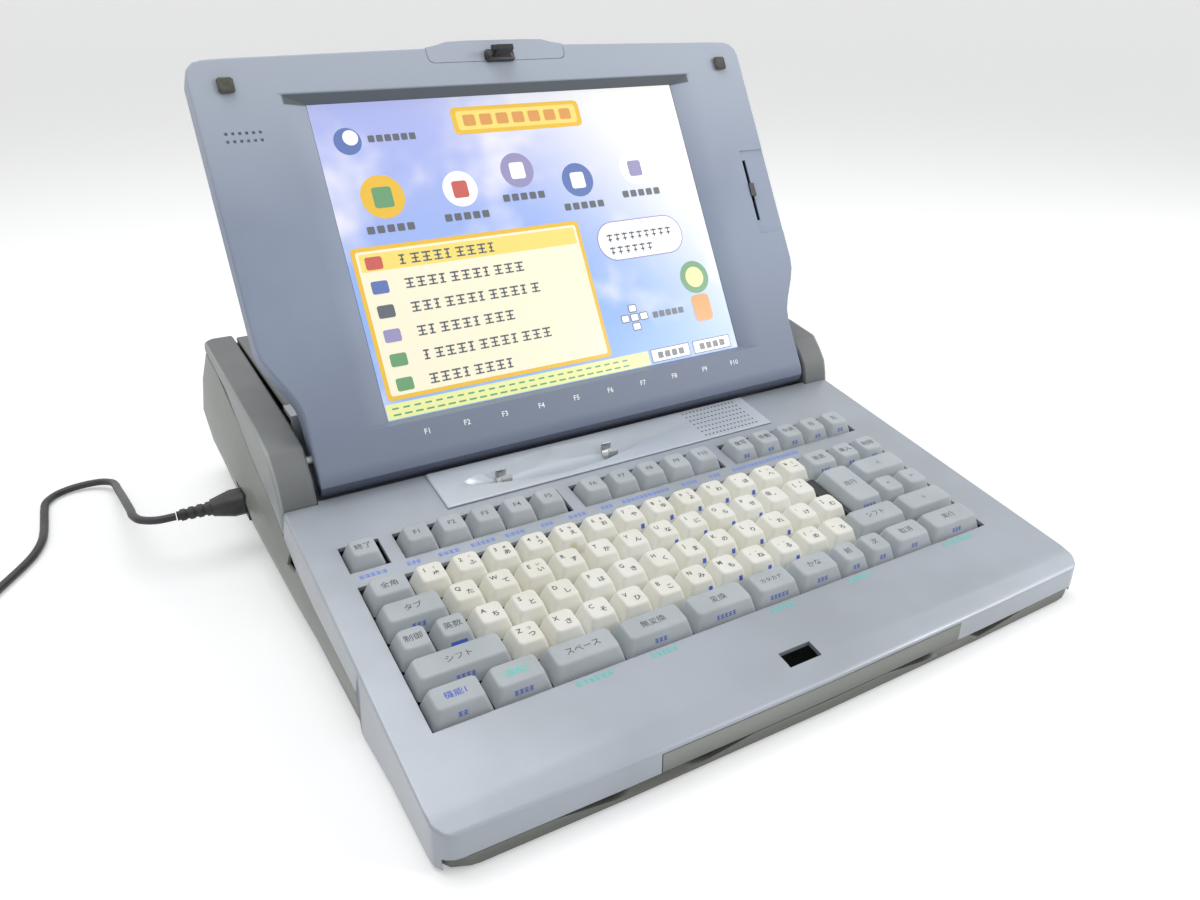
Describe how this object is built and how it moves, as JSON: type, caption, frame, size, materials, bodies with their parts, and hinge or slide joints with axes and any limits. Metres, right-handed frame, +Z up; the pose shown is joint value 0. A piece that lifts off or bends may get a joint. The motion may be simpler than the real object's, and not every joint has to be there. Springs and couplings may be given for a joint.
{
  "type": "portable word processor",
  "caption": "Portable electronic word processor with a full keyboard, a hinged display lid, a built-in printer under a rear cover, a diskette drive, a carry handle and a mains cord.",
  "frame": {"origin": "on the table, under the middle of the base without its cord", "axes": "+X to the right along the keyboard, +Y to the back, +Z up; the lid is open, leaning back 30 degrees"},
  "size_m": [0.6542, 0.4239, 0.2782],
  "materials": {
    "ac_inlet": "matte black",
    "bottom_case": "fine satin texture, silver blue-grey",
    "brightness_slider": "matte blue-grey",
    "bumper_left": "rubber",
    "bumper_right": "rubber",
    "carriage_rail": "bare steel",
    "carry_handle": "fine satin texture, silver blue-grey",
    "cheek_left": "matte dark grey",
    "cheek_right": "matte dark grey",
    "cord_coil": "soft vinyl",
    "cord_run": "soft vinyl",
    "eject_button": "matte light grey",
    "feed_gear": "matte off-white",
    "feed_motor": "bare steel",
    "floppy_drive": "bare steel",
    "foot_front_left": "rubber",
    "foot_front_right": "rubber",
    "foot_rear_left": "rubber",
    "foot_rear_right": "rubber",
    "hinge_left": "bare steel",
    "hinge_right": "bare steel",
    "key_shift_left": "matte light grey",
    "key_shift_right": "matte light grey",
    "key_space": "matte light grey",
    "key_tab": "matte light grey",
    "key_top_left": "matte light grey",
    "keyboard_plate": "bare steel",
    "keys_bottom": "matte light grey",
    "keys_digits": "matte off-white",
    "keys_edit": "matte light grey",
    "keys_enter": "matte light grey",
    "keys_function_left": "matte light grey",
    "keys_function_right": "matte light grey",
    "keys_home": "matte off-white",
    "keys_lock": "matte light grey",
    "keys_lower": "matte off-white",
    "keys_mode": "matte light grey",
    "keys_right": "matte light grey",
    "keys_upper": "matte off-white",
    "latch_panel": "matte blue-grey",
    "lcd_panel": "screen, glossy polariser",
    "lid_bezel": "matte blue-grey",
    "lid_cover": "matte blue-grey",
    "lid_latch": "matte black",
    "main_board": "circuit board",
    "mains_plug": "matte black",
    "motor_pinion": "bare brass",
    "pen_clip_left": "bare steel",
    "pen_clip_right": "bare steel",
    "pen_tray": "fine satin texture, silver blue-grey",
    "platen_roller": "rubber",
    "power_plug": "matte black",
    "power_supply": "circuit board",
    "power_switch": "matte black",
    "print_carriage": "matte black",
    "printer_cover": "matte dark grey",
    "printer_frame": "bare steel",
    "ribbon_cassette": "matte black",
    "speaker": "matte black",
    "top_case": "fine satin texture, silver blue-grey"
  },
  "bodies": {
    "base": {"ac_inlet": "ac_inlet", "bottom_case": "bottom_case", "carriage_rail": "carriage_rail", "cheek_left": "cheek_left", "cheek_right": "cheek_right", "cord_coil": "cord_coil", "cord_run": "cord_run", "feed_motor": "feed_motor", "floppy_drive": "floppy_drive", "foot_front_left": "foot_front_left", "foot_front_right": "foot_front_right", "foot_rear_left": "foot_rear_left", "foot_rear_right": "foot_rear_right", "hinge_left": "hinge_left", "hinge_right": "hinge_right", "keyboard_plate": "keyboard_plate", "main_board": "main_board", "mains_plug": "mains_plug", "pen_clip_left": "pen_clip_left", "pen_clip_right": "pen_clip_right", "pen_tray": "pen_tray", "power_plug": "power_plug", "power_supply": "power_supply", "printer_frame": "printer_frame", "speaker": "speaker", "top_case": "top_case"},
    "lid": {"lid_bezel": "lid_bezel", "lid_cover": "lid_cover", "lcd_panel": "lcd_panel", "latch_panel": "latch_panel", "bumper_left": "bumper_left", "bumper_right": "bumper_right"},
    "lid_latch": {"lid_latch": "lid_latch"},
    "brightness_slider": {"brightness_slider": "brightness_slider"},
    "printer_cover": {"printer_cover": "printer_cover"},
    "carry_handle": {"carry_handle": "carry_handle"},
    "eject_button": {"eject_button": "eject_button"},
    "power_switch": {"power_switch": "power_switch"},
    "platen": {"platen_roller": "platen_roller", "feed_gear": "feed_gear"},
    "motor_pinion": {"motor_pinion": "motor_pinion"},
    "carriage": {"print_carriage": "print_carriage", "ribbon_cassette": "ribbon_cassette"},
    "keys_digits": {"keys_digits": "keys_digits"},
    "keys_upper": {"keys_upper": "keys_upper"},
    "keys_home": {"keys_home": "keys_home"},
    "keys_lower": {"keys_lower": "keys_lower"},
    "key_top_left": {"key_top_left": "key_top_left"},
    "key_tab": {"key_tab": "key_tab"},
    "keys_lock": {"keys_lock": "keys_lock"},
    "key_shift_left": {"key_shift_left": "key_shift_left"},
    "keys_mode": {"keys_mode": "keys_mode"},
    "key_space": {"key_space": "key_space"},
    "keys_bottom": {"keys_bottom": "keys_bottom"},
    "keys_enter": {"keys_enter": "keys_enter"},
    "key_shift_right": {"key_shift_right": "key_shift_right"},
    "keys_right": {"keys_right": "keys_right"},
    "keys_function_left": {"keys_function_left": "keys_function_left"},
    "keys_function_right": {"keys_function_right": "keys_function_right"},
    "keys_edit": {"keys_edit": "keys_edit"}
  },
  "joints": [
    {"name": "lid_hinge", "type": "hinge", "parent": "base", "child": "lid", "pos_m": [0, 0.025, 0.0763], "axis": [1, 0, 0], "range_deg": [0, 129]},
    {"name": "lid_latch_slide", "type": "slide", "parent": "lid", "child": "lid_latch", "axis": [-1, 0, 0], "range_m": [0, 0.005], "stiffness_N_per_m": 120, "springref_m": -0.002},
    {"name": "brightness_slide", "type": "slide", "parent": "lid", "child": "brightness_slider", "axis": [0, 0.5009, 0.8655], "range_m": [-0.015, 0.015]},
    {"name": "printer_cover_hinge", "type": "hinge", "parent": "base", "child": "printer_cover", "pos_m": [0, 0.195, 0.088], "axis": [-1, 0, 0], "range_deg": [0, 75]},
    {"name": "carry_handle_slide", "type": "slide", "parent": "base", "child": "carry_handle", "axis": [0, -1, 0], "range_m": [0, 0.03]},
    {"name": "eject_button_slide", "type": "slide", "parent": "base", "child": "eject_button", "axis": [-1, 0, 0], "range_m": [0, 0.006], "stiffness_N_per_m": 120, "springref_m": -0.002},
    {"name": "power_switch_slide", "type": "slide", "parent": "base", "child": "power_switch", "axis": [-1, 0, 0], "range_m": [0, 0.0018], "stiffness_N_per_m": 300, "springref_m": -0.001},
    {"name": "platen_spin", "type": "hinge", "parent": "base", "child": "platen", "pos_m": [0, 0.14, 0.066], "axis": [1, 0, 0], "continuous": true},
    {"name": "motor_spin", "type": "hinge", "parent": "base", "child": "motor_pinion", "pos_m": [0, 0.15605, 0.04995], "axis": [1, 0, 0], "continuous": true},
    {"name": "carriage_slide", "type": "slide", "parent": "base", "child": "carriage", "axis": [1, 0, 0], "range_m": [0, 0.18]},
    {"name": "keys_digits_travel", "type": "slide", "parent": "base", "child": "keys_digits", "axis": [0, 0.1571, -0.9876], "range_m": [0, 0.003], "stiffness_N_per_m": 1950, "springref_m": -0.002},
    {"name": "keys_upper_travel", "type": "slide", "parent": "base", "child": "keys_upper", "axis": [0, 0.1571, -0.9876], "range_m": [0, 0.003], "stiffness_N_per_m": 1800, "springref_m": -0.002},
    {"name": "keys_home_travel", "type": "slide", "parent": "base", "child": "keys_home", "axis": [0, 0.1571, -0.9876], "range_m": [0, 0.003], "stiffness_N_per_m": 1800, "springref_m": -0.002},
    {"name": "keys_lower_travel", "type": "slide", "parent": "base", "child": "keys_lower", "axis": [0, 0.1571, -0.9876], "range_m": [0, 0.003], "stiffness_N_per_m": 1650, "springref_m": -0.002},
    {"name": "key_top_left_travel", "type": "slide", "parent": "base", "child": "key_top_left", "axis": [0, 0.1571, -0.9876], "range_m": [0, 0.003], "stiffness_N_per_m": 150, "springref_m": -0.002},
    {"name": "key_tab_travel", "type": "slide", "parent": "base", "child": "key_tab", "axis": [0, 0.1571, -0.9876], "range_m": [0, 0.003], "stiffness_N_per_m": 150, "springref_m": -0.002},
    {"name": "keys_lock_travel", "type": "slide", "parent": "base", "child": "keys_lock", "axis": [0, 0.1571, -0.9876], "range_m": [0, 0.003], "stiffness_N_per_m": 300, "springref_m": -0.002},
    {"name": "key_shift_left_travel", "type": "slide", "parent": "base", "child": "key_shift_left", "axis": [0, 0.1571, -0.9876], "range_m": [0, 0.003], "stiffness_N_per_m": 150, "springref_m": -0.002},
    {"name": "keys_mode_travel", "type": "slide", "parent": "base", "child": "keys_mode", "axis": [0, 0.1571, -0.9876], "range_m": [0, 0.003], "stiffness_N_per_m": 300, "springref_m": -0.002},
    {"name": "key_space_travel", "type": "slide", "parent": "base", "child": "key_space", "axis": [0, 0.1571, -0.9876], "range_m": [0, 0.003], "stiffness_N_per_m": 150, "springref_m": -0.002},
    {"name": "keys_bottom_travel", "type": "slide", "parent": "base", "child": "keys_bottom", "axis": [0, 0.1571, -0.9876], "range_m": [0, 0.003], "stiffness_N_per_m": 1050, "springref_m": -0.002},
    {"name": "keys_enter_travel", "type": "slide", "parent": "base", "child": "keys_enter", "axis": [0, 0.1571, -0.9876], "range_m": [0, 0.003], "stiffness_N_per_m": 300, "springref_m": -0.002},
    {"name": "key_shift_right_travel", "type": "slide", "parent": "base", "child": "key_shift_right", "axis": [0, 0.1571, -0.9876], "range_m": [0, 0.003], "stiffness_N_per_m": 150, "springref_m": -0.002},
    {"name": "keys_right_travel", "type": "slide", "parent": "base", "child": "keys_right", "axis": [0, 0.1571, -0.9876], "range_m": [0, 0.003], "stiffness_N_per_m": 1050, "springref_m": -0.002},
    {"name": "keys_function_left_travel", "type": "slide", "parent": "base", "child": "keys_function_left", "axis": [0, 0.1571, -0.9876], "range_m": [0, 0.003], "stiffness_N_per_m": 900, "springref_m": -0.002},
    {"name": "keys_function_right_travel", "type": "slide", "parent": "base", "child": "keys_function_right", "axis": [0, 0.1571, -0.9876], "range_m": [0, 0.003], "stiffness_N_per_m": 750, "springref_m": -0.002},
    {"name": "keys_edit_travel", "type": "slide", "parent": "base", "child": "keys_edit", "axis": [0, 0.1571, -0.9876], "range_m": [0, 0.003], "stiffness_N_per_m": 750, "springref_m": -0.002}
  ],
  "couplings": [
    {"joint": "motor_spin", "follows": "platen_spin", "ratio": -3}
  ]
}
